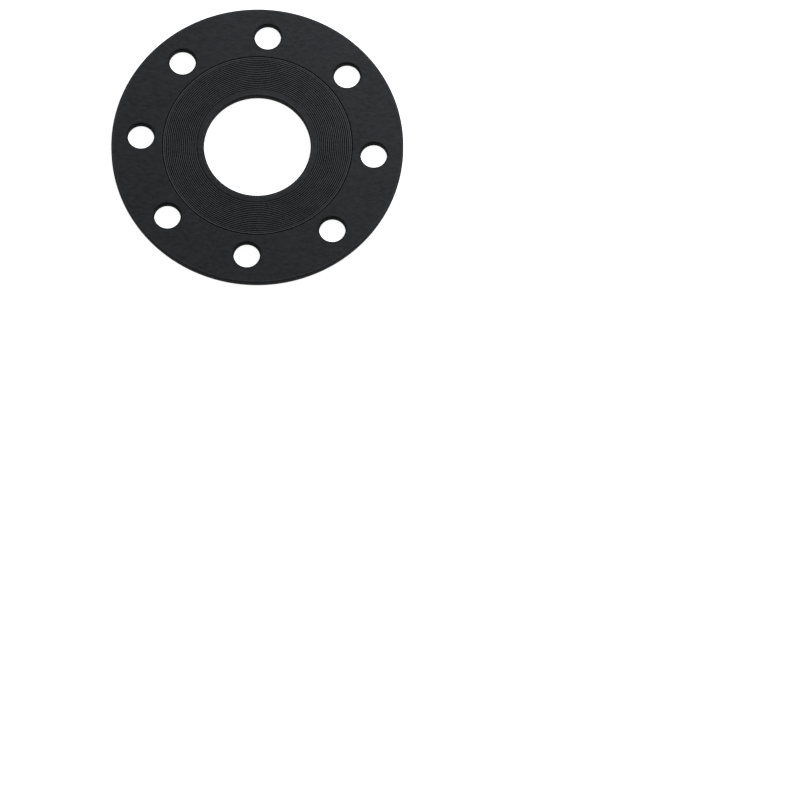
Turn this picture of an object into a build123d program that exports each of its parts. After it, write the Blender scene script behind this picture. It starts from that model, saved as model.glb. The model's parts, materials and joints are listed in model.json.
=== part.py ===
from build123d import *
import os

# Full-face rubber gasket for a bolted pipe flange: one flat moulded ring with a bore,
# a circle of bolt holes, and a band of fine sealing rings round the bore.
# Sizes are in millimetres. The origin is on the bore's axis at the underside,
# +Z points up through the thickness, and +X passes through the middle of one bolt hole.

# The ring and its bolt holes
thickness = 6.0
bore_diameter = 73.0
bolt_count = 8
bolt_circle_diameter = 160.0
bolt_hole_diameter = 18.0
outer_rim_width = 11.0  # rubber left between a bolt hole and the outside edge
edge_break = 0.4  # the small bevel on the rim of the bore, of each bolt hole and of the outside

# The boundary groove, which marks off the sealing band inside the bolt holes
hole_to_groove = 5.5  # plain face between a bolt hole and the boundary groove
boundary_groove_width = 1.0
boundary_groove_depth = 0.6
boundary_land = 0.2  # flat left between the boundary groove and the outermost ring

# The fine sealing rings, one V groove after another with a sharp ridge between them
ring_count = 18
ring_depth = 0.35
bore_land = 4.4  # plain band between the bore and the innermost ring

# Sizes that follow from the ones above
bore_radius = bore_diameter / 2
bolt_circle_radius = bolt_circle_diameter / 2
bolt_hole_radius = bolt_hole_diameter / 2
outside_radius = bolt_circle_radius + bolt_hole_radius + outer_rim_width
groove_outer_radius = bolt_circle_radius - bolt_hole_radius - hole_to_groove
groove_middle_radius = groove_outer_radius - boundary_groove_width / 2
groove_inner_radius = groove_outer_radius - boundary_groove_width
rings_outer_radius = groove_inner_radius - boundary_land
rings_inner_radius = bore_radius + bore_land
ring_pitch = (rings_outer_radius - rings_inner_radius) / ring_count


def fine_rings():
    """The section of the sealing rings, from the bore outwards, with ridges level with the face."""
    for ring in range(ring_count):
        inner_ridge = rings_inner_radius + ring * ring_pitch
        Polyline(
            (inner_ridge, thickness),
            (inner_ridge + ring_pitch / 2, thickness - ring_depth),
            (inner_ridge + ring_pitch, thickness),
        )


def boundary_groove():
    """The section of the deeper groove round the sealing rings."""
    Polyline(
        (groove_inner_radius, thickness),
        (groove_middle_radius, thickness - boundary_groove_depth),
        (groove_outer_radius, thickness),
    )


with BuildPart() as flange_gasket:
    # Half of the ring's section, from the bore to the outside edge
    with BuildSketch(Plane.XZ) as section:
        with BuildLine():
            Line((bore_radius, thickness), (rings_inner_radius, thickness))
            fine_rings()
            Line((rings_outer_radius, thickness), (groove_inner_radius, thickness))
            boundary_groove()
            Polyline(
                (groove_outer_radius, thickness),
                (outside_radius, thickness),
                (outside_radius, 0),
                (bore_radius, 0),
                (bore_radius, thickness),
            )
        make_face()
        chamfer(section.vertices().group_by(Axis.X)[0], edge_break)
        chamfer(section.vertices().group_by(Axis.X)[-1], edge_break)
    revolve(axis=Axis.Z)

    # The bolt holes, right through, with the same bevel on both rims
    with Locations((0, 0, thickness)):
        with PolarLocations(bolt_circle_radius, bolt_count):
            Hole(bolt_hole_radius, depth=thickness)
    hole_rims = flange_gasket.edges(Select.LAST).filter_by(GeomType.CIRCLE)
    chamfer(hole_rims, edge_break)

flange_gasket.part.label = "flange_gasket"
os.makedirs("parts", exist_ok=True)
export_step(flange_gasket.part, "parts/flange_gasket.step")
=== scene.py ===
import json
import math
from collections import namedtuple

import bmesh
import bpy
from mathutils import Matrix, Vector


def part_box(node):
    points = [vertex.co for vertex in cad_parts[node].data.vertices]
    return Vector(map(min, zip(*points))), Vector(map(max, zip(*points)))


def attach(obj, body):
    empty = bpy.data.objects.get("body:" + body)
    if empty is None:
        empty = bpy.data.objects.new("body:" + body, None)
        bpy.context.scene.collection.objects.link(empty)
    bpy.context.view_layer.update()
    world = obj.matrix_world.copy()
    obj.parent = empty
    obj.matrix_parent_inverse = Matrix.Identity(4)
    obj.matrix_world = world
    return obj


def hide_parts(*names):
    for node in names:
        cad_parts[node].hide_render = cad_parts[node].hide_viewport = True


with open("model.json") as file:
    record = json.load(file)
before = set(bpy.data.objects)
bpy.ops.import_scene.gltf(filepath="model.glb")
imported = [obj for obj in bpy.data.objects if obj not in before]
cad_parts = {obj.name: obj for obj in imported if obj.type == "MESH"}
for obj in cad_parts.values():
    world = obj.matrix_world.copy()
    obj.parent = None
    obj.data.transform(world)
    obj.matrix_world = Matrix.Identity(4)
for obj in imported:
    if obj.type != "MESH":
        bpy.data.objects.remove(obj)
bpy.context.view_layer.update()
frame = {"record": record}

# A full-face rubber flange gasket on a white studio floor. Lengths are in metres, in the
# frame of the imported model: the origin is on the bore's axis at the underside, +Z up.
MM = 0.001
NODE = "flange_gasket"

node_low, node_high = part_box(NODE)
mounts = {mount["name"]: mount["dims"] for mount in frame["record"]["mounts"]}

# The ring and its bolt holes, read from the frame
THICKNESS = node_high.z - node_low.z
OUTSIDE_RADIUS = (node_high.x - node_low.x) / 2
BORE_RADIUS = mounts["bore"]["r_mm"] * MM
BOLT_COUNT = mounts["bolt_holes"]["count"]
BOLT_CIRCLE_RADIUS = mounts["bolt_holes"]["pcd_mm"] * MM / 2
BOLT_HOLE_RADIUS = mounts["bolt_holes"]["hole_r_mm"] * MM

# The moulded sealing band of the upper face, from the bore out
BORE_LAND = 4.4 * MM
RING_COUNT = 18
RING_DEPTH = 0.35 * MM
BOUNDARY_LAND = 0.2 * MM
GROOVE_WIDTH = 1.0 * MM
GROOVE_DEPTH = 0.6 * MM
HOLE_TO_GROOVE = 5.5 * MM
GROOVE_OUTER = BOLT_CIRCLE_RADIUS - BOLT_HOLE_RADIUS - HOLE_TO_GROOVE
GROOVE_INNER = GROOVE_OUTER - GROOVE_WIDTH
RINGS_OUTER = GROOVE_INNER - BOUNDARY_LAND
RINGS_INNER = BORE_RADIUS + BORE_LAND
RING_PITCH = (RINGS_OUTER - RINGS_INNER) / RING_COUNT

# How finely the surface is drawn
ROUND_STEPS = 4
RIM_BAND = 1.0 * MM  # the strip of a flat face along an edge, pale with a painted highlight at the bore and outside
FLAT_MARGIN = 0.25 * MM  # flat strip beside the grooves, so that they don't shade the flat face
WALL_MARGIN = 0.8 * MM  # from a wall's roundings to where it takes its own tone
SECTOR_STEPS = 45  # steps along one bolt hole's share of a full circle
SPOKE_STEPS = 20  # steps along the straight side between two bolt holes
HOLE_BANDS = 5  # rows of faces from a bolt hole out to its sector's sides
RING_SHARES = (0.0, 0.08, 0.22, 0.5, 0.78, 0.92)  # where one ring's section has its points
GROOVE_SHARES = (0.0, 0.12, 0.3, 0.5, 0.7, 0.88, 1.0)
GROOVE_SOFTNESS = 0.6  # 0 gives sharp ridges and valleys, 1 gives fully rounded ones
WELD = 0.002 * MM

FACE, WALL = 0, 1  # material slots of the gasket's mesh

# Relief, which colours the rubber: 1 on a ridge, pale with wear and a painted highlight, 0 on a
# plain face, -1 down in a groove, near black with painted shade. The boundary groove's edges take
# a painted highlight. The rings and the boundary groove have one value for each point of their
# section.
CREST, PLAIN, DEEP = 1.0, 0.0, -1.0
LAND = 0.02  # the plain band round the bore, hardly rubbed
FIRST_RING_RELIEF = (LAND, LAND, -0.5, -0.8, -0.5, 0.8)
RING_RELIEF = (CREST, CREST, -0.9, DEEP, -0.9, CREST)
LAST_RING_RELIEF = (CREST, CREST, -0.3, -0.5, -0.2, CREST)
GROOVE_RELIEF = (CREST, DEEP, DEEP, DEEP, DEEP, DEEP, 0.3)

# The edges of the rubber: which side of the wall the rubber lies on, the rounding's radius, and
# the relief of the face's rim, of the upper rounding, of the upright wall and of its foot. A rim's
# positive relief is a painted highlight and a rounding's negative relief painted shade; the walls
# of the bore and the outside grow paler towards the foot with painted light from the floor, and
# the bolt holes' walls and feet are darker with painted shade.
OUT, IN = 1, -1
Edge = namedtuple("Edge", "radius side rounding rim_relief round_relief wall_relief foot_relief")
BORE_EDGE = Edge(BORE_RADIUS, side=OUT, rounding=0.7 * MM,
                 rim_relief=0.3, round_relief=-0.3, wall_relief=0.05, foot_relief=0.22)
HOLE_EDGE = Edge(BOLT_HOLE_RADIUS, side=OUT, rounding=0.7 * MM,
                 rim_relief=PLAIN, round_relief=-0.7, wall_relief=-0.3, foot_relief=-0.3)
OUTER_EDGE = Edge(OUTSIDE_RADIUS, side=IN, rounding=0.4 * MM,
                  rim_relief=0.3, round_relief=-0.15, wall_relief=0.1, foot_relief=0.8)

# The rubber's colours: its own tones, a pale one for worn ridges and for painted highlights and
# painted light, and a near-black one for painted shade
RUBBER_DARK = (0.0140, 0.0144, 0.0154, 1.0)
RUBBER = (0.0185, 0.0190, 0.0205, 1.0)
RUBBER_PALE = (0.0260, 0.0266, 0.0285, 1.0)
# Pale: wear on the ridges, painted highlights on ridges, rims and groove edges, painted light at
# the walls' feet
RUBBER_WEAR_AND_PAINTED_LIGHT = (0.0740, 0.0750, 0.0780, 1.0)
# Near black: painted shade in the grooves, on the roundings and in the bolt holes
RUBBER_PAINTED_SHADE = (0.0020, 0.0020, 0.0022, 1.0)
WALL_DARK = (0.0160, 0.0164, 0.0175, 1.0)
WALL_PALE = (0.0335, 0.0343, 0.0365, 1.0)
PAINTED_SHADE_SHARE = 0.95  # how far the deepest relief goes to the painted shade's colour

# The rubber's textures. A scale is in features a metre, and a stretched noise has its scales
# along X, Y and Z in its stretch instead.
Noise = namedtuple("Noise", "scale detail roughness")
GRAIN = Noise(1300.0, 3.0, 0.6)
DRAWN = Noise(1.0, 3.0, 0.6)
DRAWN_STRETCH = (300.0, 600.0, 600.0)  # longer along X
CLOUD = Noise(38.0, 4.0, 0.6)
RUB = Noise(120.0, 2.0, 0.5)
WALL_GRAIN = Noise(1600.0, 4.0, 0.65)
TOOL_MARKS = Noise(1.0, 3.0, 0.6)
TOOL_STRETCH = (1500.0, 1500.0, 90.0)  # longer up the wall
NOISE_RANGE = (0.3, 0.7)  # most of a noise's values lie in here
DRAWN_RANGE = (0.33, 0.67)
RUB_RANGE = (0.35, 0.6)
RUB_STRENGTH = (0.7, 1.0)
GRAIN_BUMP = 0.03 * MM
DRAWN_BUMP = 0.06 * MM
TOOL_BUMP = 0.02 * MM
TOOL_BUMP_STRENGTH = 0.8
FACE_ROUGHNESS = (0.52, 0.68)
RUBBED_POLISH = 0.15  # taken off the roughness of a rubbed ridge
FACE_SPECULAR = 0.04
WALL_ROUGHNESS = (0.74, 0.88)
WALL_SPECULAR = 0.05

# The studio
FLOOR_WIDTH = 60.0
FLOOR_GAP = 0.03 * MM  # between the floor and the underside
FLOOR_COLOUR = (0.6, 0.6, 0.6, 1.0)
FLOOR_WHITE = 0.92
FILL_COLOUR = (1.0, 1.0, 1.0, 1.0)
FILL_STRENGTH = 0.2
WHITE_STRENGTH = 1.0
LAMP_COLOUR = (0.93, 0.96, 1.0)
Lamp = namedtuple("Lamp", "name place size power")
KEY_LAMP = Lamp("key_lamp", place=(0.296, 0.427, 0.46), size=0.3, power=4.5)
BACK_LAMP = Lamp("back_lamp", place=(0.42, 1.05, 1.15), size=0.5, power=9.0)

# The photograph's frame, where the middle of the upper face is in it, and the camera's angles
PHOTO_SIZE = 809
FACE_CENTRE_PX = (257.32, 145.35)
PX_PER_METRE = 1461.4
FIELD_OF_VIEW = math.radians(3.0)
ELEVATION = math.radians(70.11)
ROLL = math.radians(0.12)
TURN = math.radians(-4.88)
SENSOR_WIDTH = 36.0  # millimetres, as the lens is
CLIP_START_SHARE = 0.1  # of the distance to the gasket


class Surface:
    """A surface gathered row by row: points with their relief, and faces with their slot."""

    def __init__(self):
        self.points = []
        self.relief = []
        self.faces = []
        self.slots = []

    def row(self, points, relief=PLAIN):
        first = len(self.points)
        self.points.extend(points)
        self.relief.extend([relief] * len(points))
        return list(range(first, len(self.points)))

    def strip(self, row_a, row_b, slot):
        """Faces between two closed rows with as many points."""
        for n in range(len(row_a)):
            after = (n + 1) % len(row_a)
            self.faces.append((row_a[n], row_a[after], row_b[after], row_b[n]))
            self.slots.append(slot)

    def turned(self, section, directions, centre=(0.0, 0.0)):
        """Turns a section, a list of (radius, height, relief, slot), about an upright axis."""
        last = None
        for radius, height, relief, slot in section:
            row = self.row(circle(centre, radius, height, directions), relief)
            if last:
                self.strip(last, row, slot)
            last = row

    def spread(self, inner, outer, bands):
        """Faces between two closed rows of points on a flat face, in as many bands."""
        last = self.row(inner)
        for band in range(1, bands + 1):
            row = self.row([between(p, q, band / bands) for p, q in zip(inner, outer)])
            self.strip(last, row, FACE)
            last = row


def between(p, q, share):
    return tuple(a + (b - a) * share for a, b in zip(p, q))


def direction(turn):
    return math.cos(turn), math.sin(turn)


def circle(centre, radius, height, directions):
    return [(centre[0] + radius * x, centre[1] + radius * y, height) for x, y in directions]


def flat_radius(edge):
    """Where the flat of a face starts, past the edge's rounding and its rim band, which takes a
    painted highlight at the bore and outside.
    """
    return edge.radius + edge.side * (edge.rounding + RIM_BAND)


def rounded_wall(edge):
    """Section of an upright wall, from the flat of the upper face to the flat of the underside."""
    turns = [n / ROUND_STEPS * math.pi / 2 for n in range(ROUND_STEPS + 1)]
    middle_of_rim = edge.radius + edge.side * (edge.rounding + RIM_BAND / 2)
    section = [(flat_radius(edge), THICKNESS, PLAIN, FACE)]
    # The rim takes a painted highlight, and the rounding below it painted shade.
    section.append((middle_of_rim, THICKNESS, edge.rim_relief, FACE))
    for step, turn in enumerate(turns):
        inset = edge.rounding * (1 - math.sin(turn))
        drop = edge.rounding * (1 - math.cos(turn))
        slot = FACE if step == 0 else WALL
        section.append((edge.radius + edge.side * inset, THICKNESS - drop, edge.round_relief, slot))
    margin = edge.rounding + WALL_MARGIN
    # Down the wall to its foot: painted light from the floor at the bore and the outside, painted
    # shade in a bolt hole.
    section.append((edge.radius, THICKNESS - margin, edge.wall_relief, WALL))
    section.append((edge.radius, margin, edge.foot_relief, WALL))
    for turn in turns:
        inset = edge.rounding * (1 - math.cos(turn))
        rise = edge.rounding * (1 - math.sin(turn))
        section.append((edge.radius + edge.side * inset, rise, edge.foot_relief, WALL))
    section.append((flat_radius(edge), 0.0, PLAIN, FACE))
    return section


def groove_drop(share):
    """Depth across a groove, from 0 at the ridges on its two sides to 1 in its valley."""
    straight = 1 - abs(2 * share - 1)
    rounded = straight * straight * (3 - 2 * straight)
    return straight + GROOVE_SOFTNESS * (rounded - straight)


def sealing_band():
    """Section of the upper face, from the bore's land to the flat outside the boundary groove."""
    section = [(flat_radius(BORE_EDGE), THICKNESS, LAND, FACE)]
    section.append((RINGS_INNER - FLAT_MARGIN, THICKNESS, LAND, FACE))
    ring_reliefs = [FIRST_RING_RELIEF] + [RING_RELIEF] * (RING_COUNT - 2) + [LAST_RING_RELIEF]
    for ring, ring_relief in enumerate(ring_reliefs):
        for share, relief in zip(RING_SHARES, ring_relief):
            radius = RINGS_INNER + (ring + share) * RING_PITCH
            section.append((radius, THICKNESS - RING_DEPTH * groove_drop(share), relief, FACE))
    section.append((RINGS_OUTER, THICKNESS, CREST, FACE))
    for share, relief in zip(GROOVE_SHARES, GROOVE_RELIEF):
        radius = GROOVE_INNER + share * GROOVE_WIDTH
        section.append((radius, THICKNESS - GROOVE_DEPTH * groove_drop(share), relief, FACE))
    section.append((GROOVE_OUTER + FLAT_MARGIN, THICKNESS, PLAIN, FACE))
    return section


def plain_band():
    """Section of the underside, from the bore to the same radius as the upper face's band."""
    inner, outer = flat_radius(BORE_EDGE), GROOVE_OUTER + FLAT_MARGIN
    return [(radius, 0.0, PLAIN, FACE) for radius in (inner, (inner + outer) / 2, outer)]


def sector_outline(middle, height):
    """Outline of the flat round the bolt hole at the angle middle: two arcs and two spokes."""
    inner, outer = GROOVE_OUTER + FLAT_MARGIN, flat_radius(OUTER_EDGE)
    half = math.pi / BOLT_COUNT
    corners = [(inner, middle - half), (inner, middle + half),
               (outer, middle + half), (outer, middle - half)]
    outline = []
    for side, steps in enumerate((SECTOR_STEPS, SPOKE_STEPS, SECTOR_STEPS, SPOKE_STEPS)):
        start, end = corners[side], corners[(side + 1) % len(corners)]
        for n in range(steps):
            radius, turn = between(start, end, n / steps)
            outline.append((radius * math.cos(turn), radius * math.sin(turn), height))
    return outline


def bolt_hole_sector(surface, middle):
    """The wall of one bolt hole, and the flat rubber round it on both faces."""
    centre = (BOLT_CIRCLE_RADIUS * math.cos(middle), BOLT_CIRCLE_RADIUS * math.sin(middle))
    directions = []
    for x, y, _ in sector_outline(middle, 0.0):
        directions.append(direction(math.atan2(y - centre[1], x - centre[0])))
    surface.turned(rounded_wall(HOLE_EDGE), directions, centre)
    for height in (THICKNESS, 0.0):
        hole_rim = circle(centre, flat_radius(HOLE_EDGE), height, directions)
        surface.spread(hole_rim, sector_outline(middle, height), HOLE_BANDS)


def gasket_surface():
    surface = Surface()
    steps = BOLT_COUNT * SECTOR_STEPS
    half_sector = math.pi / BOLT_COUNT
    round_turn = [direction(2 * math.pi * n / steps - half_sector) for n in range(steps)]
    sections = (rounded_wall(BORE_EDGE), sealing_band(), plain_band(), rounded_wall(OUTER_EDGE))
    for section in sections:
        surface.turned(section, round_turn)
    for hole in range(BOLT_COUNT):
        bolt_hole_sector(surface, 2 * math.pi * hole / BOLT_COUNT)
    return surface


def gasket_object(materials):
    """The gasket as one closed mesh, with its relief kept as a point attribute."""
    surface = gasket_surface()
    mesh = bpy.data.meshes.new("gasket_rubber")
    mesh.from_pydata(surface.points, [], surface.faces)
    mesh.polygons.foreach_set("material_index", surface.slots)
    relief = mesh.attributes.new("relief", "FLOAT", "POINT")
    relief.data.foreach_set("value", surface.relief)
    for material in materials:
        mesh.materials.append(material)
    joined = bmesh.new()
    joined.from_mesh(mesh)
    bmesh.ops.remove_doubles(joined, verts=joined.verts, dist=WELD)
    bmesh.ops.recalc_face_normals(joined, faces=joined.faces)
    joined.to_mesh(mesh)
    joined.free()
    mesh.polygons.foreach_set("use_smooth", [True] * len(mesh.polygons))
    return placed("gasket_rubber", mesh)


def placed(name, data):
    """A new object in the scene."""
    made = bpy.data.objects.new(name, data)
    bpy.context.scene.collection.objects.link(made)
    return made


def add(tree, kind, inputs=None, **fields):
    """Adds a shader node. Each input, by name or place, gets a value or another node's socket."""
    made = tree.nodes.new("ShaderNode" + kind)
    for name, value in fields.items():
        setattr(made, name, value)
    for key, value in (inputs or {}).items():
        if isinstance(value, bpy.types.NodeSocket):
            tree.links.new(value, made.inputs[key])
        else:
            made.inputs[key].default_value = value
    return made


def empty_material(name):
    material = bpy.data.materials.new(name)
    material.use_nodes = True
    material.node_tree.nodes.clear()
    return material, material.node_tree


def noise(tree, where, kind):
    inputs = {"Vector": where, "Scale": kind.scale,
              "Detail": kind.detail, "Roughness": kind.roughness}
    return add(tree, "TexNoise", inputs).outputs["Fac"]


def stretched(tree, where, scale):
    return add(tree, "Mapping", {"Vector": where, "Scale": scale}).outputs["Vector"]


def ramp(tree, value, values, to=(0.0, 1.0)):
    """Maps a value from one range to another."""
    inputs = {"Value": value, "From Min": values[0], "From Max": values[1],
              "To Min": to[0], "To Max": to[1]}
    return add(tree, "MapRange", inputs).outputs["Result"]


def mix_colour(tree, share, first, second):
    """A mix of two colours. A Mix node has its colours at inputs 6 and 7 and its result at 2."""
    mixed = add(tree, "Mix", {"Factor": share, 6: first, 7: second}, data_type="RGBA")
    return mixed.outputs[2]


def combined(tree, operation, first, second):
    return add(tree, "Math", {0: first, 1: second}, operation=operation).outputs[0]


def bump(tree, height, distance, strength=1.0, normal=None):
    inputs = {"Height": height, "Distance": distance, "Strength": strength}
    if normal:
        inputs["Normal"] = normal
    return add(tree, "Bump", inputs).outputs["Normal"]


def relief_shares(tree):
    """How much wear and painted light, and how much painted shade, the rubber takes from the mesh's
    relief.
    """
    relief = add(tree, "Attribute", attribute_name="relief").outputs["Fac"]
    return ramp(tree, relief, (PLAIN, CREST)), ramp(tree, relief, (DEEP, PLAIN), (PAINTED_SHADE_SHARE, 0.0))


def finish_rubber(tree, colour, roughness, specular, normal):
    shader = add(tree, "BsdfPrincipled", {
        "Base Color": colour,
        "Roughness": roughness,
        "Specular IOR Level": specular,
        "Normal": normal,
    })
    add(tree, "OutputMaterial", {"Surface": shader.outputs["BSDF"]})


def face_rubber():
    """Matte black moulded rubber: grain drawn out along X, ridges pale with wear and a painted
    highlight, rims pale with a painted highlight, valleys near black with painted shade.
    """
    material, tree = empty_material("face_rubber")
    where = add(tree, "TexCoord").outputs["Object"]
    grain = noise(tree, where, GRAIN)
    drawn = noise(tree, stretched(tree, where, DRAWN_STRETCH), DRAWN)
    cloud = noise(tree, where, CLOUD)
    ridge, painted_shade = relief_shares(tree)
    rub = ramp(tree, noise(tree, where, RUB), RUB_RANGE, RUB_STRENGTH)
    wear_and_painted_light = combined(tree, "MULTIPLY", ridge, rub)

    colour = mix_colour(tree, ramp(tree, cloud, NOISE_RANGE), RUBBER_DARK, RUBBER)
    colour = mix_colour(tree, ramp(tree, drawn, DRAWN_RANGE), colour, RUBBER_PALE)
    # Pale with wear and a painted highlight on the ridges and rims, then near black with painted
    # shade in the grooves
    colour = mix_colour(tree, wear_and_painted_light, colour, RUBBER_WEAR_AND_PAINTED_LIGHT)
    colour = mix_colour(tree, painted_shade, colour, RUBBER_PAINTED_SHADE)
    dullness = ramp(tree, grain, NOISE_RANGE, FACE_ROUGHNESS)
    polish = ramp(tree, wear_and_painted_light, (0.0, 1.0), (0.0, RUBBED_POLISH))
    normal = bump(tree, drawn, DRAWN_BUMP, normal=bump(tree, grain, GRAIN_BUMP))
    finish_rubber(tree, colour, combined(tree, "SUBTRACT", dullness, polish), FACE_SPECULAR, normal)
    return material


def wall_rubber():
    """The upright walls: duller than the face, with fine upright marks from the tool, painted light
    from the floor towards the foot, and painted shade on the roundings and in the bolt holes.
    """
    material, tree = empty_material("wall_rubber")
    where = add(tree, "TexCoord").outputs["Object"]
    grain = noise(tree, where, WALL_GRAIN)
    marks = noise(tree, stretched(tree, where, TOOL_STRETCH), TOOL_MARKS)
    wear_and_painted_light, painted_shade = relief_shares(tree)
    colour = mix_colour(tree, ramp(tree, marks, NOISE_RANGE), WALL_DARK, WALL_PALE)
    # Painted light from the floor towards the walls' feet, then painted shade on the roundings and
    # in the bolt holes
    colour = mix_colour(tree, wear_and_painted_light, colour, RUBBER_WEAR_AND_PAINTED_LIGHT)
    colour = mix_colour(tree, painted_shade, colour, RUBBER_PAINTED_SHADE)
    normal = bump(tree, marks, TOOL_BUMP, TOOL_BUMP_STRENGTH)
    roughness = ramp(tree, grain, NOISE_RANGE, WALL_ROUGHNESS)
    finish_rubber(tree, colour, roughness, WALL_SPECULAR, normal)
    return material


def seen_directly(tree):
    """1 for rays from the camera, for reflections and through glass, 0 for scattered light."""
    path = add(tree, "LightPath").outputs
    reflected = combined(tree, "MAXIMUM", path["Is Camera Ray"], path["Is Glossy Ray"])
    return combined(tree, "MAXIMUM", reflected, path["Is Transmission Ray"])


def white_floor():
    """A colour that takes the object's shadow, with a white glow over it where it is seen."""
    material, tree = empty_material("white_floor")
    shade = add(tree, "BsdfDiffuse", {"Color": FLOOR_COLOUR})
    glow = combined(tree, "MULTIPLY", seen_directly(tree), FLOOR_WHITE)
    light = add(tree, "Emission", {"Strength": glow})
    total = add(tree, "AddShader", {0: shade.outputs["BSDF"], 1: light.outputs["Emission"]})
    add(tree, "OutputMaterial", {"Surface": total.outputs["Shader"]})
    return material


def studio_floor():
    half = FLOOR_WIDTH / 2
    corners = ((-half, -half), (half, -half), (half, half), (-half, half))
    mesh = bpy.data.meshes.new("floor")
    mesh.from_pydata([(x, y, -FLOOR_GAP) for x, y in corners], [], [(0, 1, 2, 3)])
    mesh.materials.append(white_floor())
    placed("floor", mesh)


def studio_world():
    """Soft light from all round, with a white background behind the floor."""
    world = bpy.data.worlds.new("studio")
    world.use_nodes = True
    tree = world.node_tree
    tree.nodes.clear()
    strength = ramp(tree, seen_directly(tree), (0.0, 1.0), (FILL_STRENGTH, WHITE_STRENGTH))
    background = add(tree, "Background", {"Color": FILL_COLOUR, "Strength": strength})
    add(tree, "OutputWorld", {"Surface": background.outputs["Background"]})
    bpy.context.scene.world = world


def soft_lamp(lamp):
    """A square area lamp, turned towards the gasket."""
    light = bpy.data.lights.new(lamp.name, "AREA")
    light.shape = "SQUARE"
    light.size = lamp.size
    light.energy = lamp.power
    light.color = LAMP_COLOUR
    holder = placed(lamp.name, light)
    holder.location = lamp.place
    holder.rotation_mode = "QUATERNION"
    holder.rotation_quaternion = (-Vector(lamp.place)).to_track_quat("-Z", "Y")
    holder.visible_camera = False


def photo_camera():
    """The camera looks along the middle of the photo's frame, so the gasket lies up and left."""
    half_frame = PHOTO_SIZE / 2
    half_view = math.tan(FIELD_OF_VIEW / 2)
    distance = half_frame / half_view / PX_PER_METRE
    turn = Matrix.Rotation(-TURN, 3, "Z")
    back = turn @ Vector((0.0, -math.cos(ELEVATION), math.sin(ELEVATION)))
    level = turn @ Vector((1.0, 0.0, 0.0))
    steep = back.cross(level)
    right = math.cos(ROLL) * level + math.sin(ROLL) * steep
    up = math.cos(ROLL) * steep - math.sin(ROLL) * level
    across = (FACE_CENTRE_PX[0] - half_frame) / PX_PER_METRE
    above = (half_frame - FACE_CENTRE_PX[1]) / PX_PER_METRE
    face_centre = Vector((0.0, 0.0, THICKNESS))
    place = face_centre + back * distance - right * across - up * above

    lens = bpy.data.cameras.new("camera")
    lens.sensor_width = SENSOR_WIDTH
    lens.lens = SENSOR_WIDTH / 2 / half_view
    lens.clip_start = distance * CLIP_START_SHARE
    lens.clip_end = FLOOR_WIDTH * 2
    camera = placed("camera", lens)
    facing = Matrix((right, up, back)).transposed().to_4x4()
    camera.matrix_world = Matrix.Translation(place) @ facing
    bpy.context.scene.camera = camera


gasket = gasket_object([face_rubber(), wall_rubber()])
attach(gasket, "root")
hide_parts(NODE)

studio_floor()
studio_world()
soft_lamp(KEY_LAMP)
soft_lamp(BACK_LAMP)
photo_camera()
bpy.context.scene.view_settings.view_transform = "Standard"
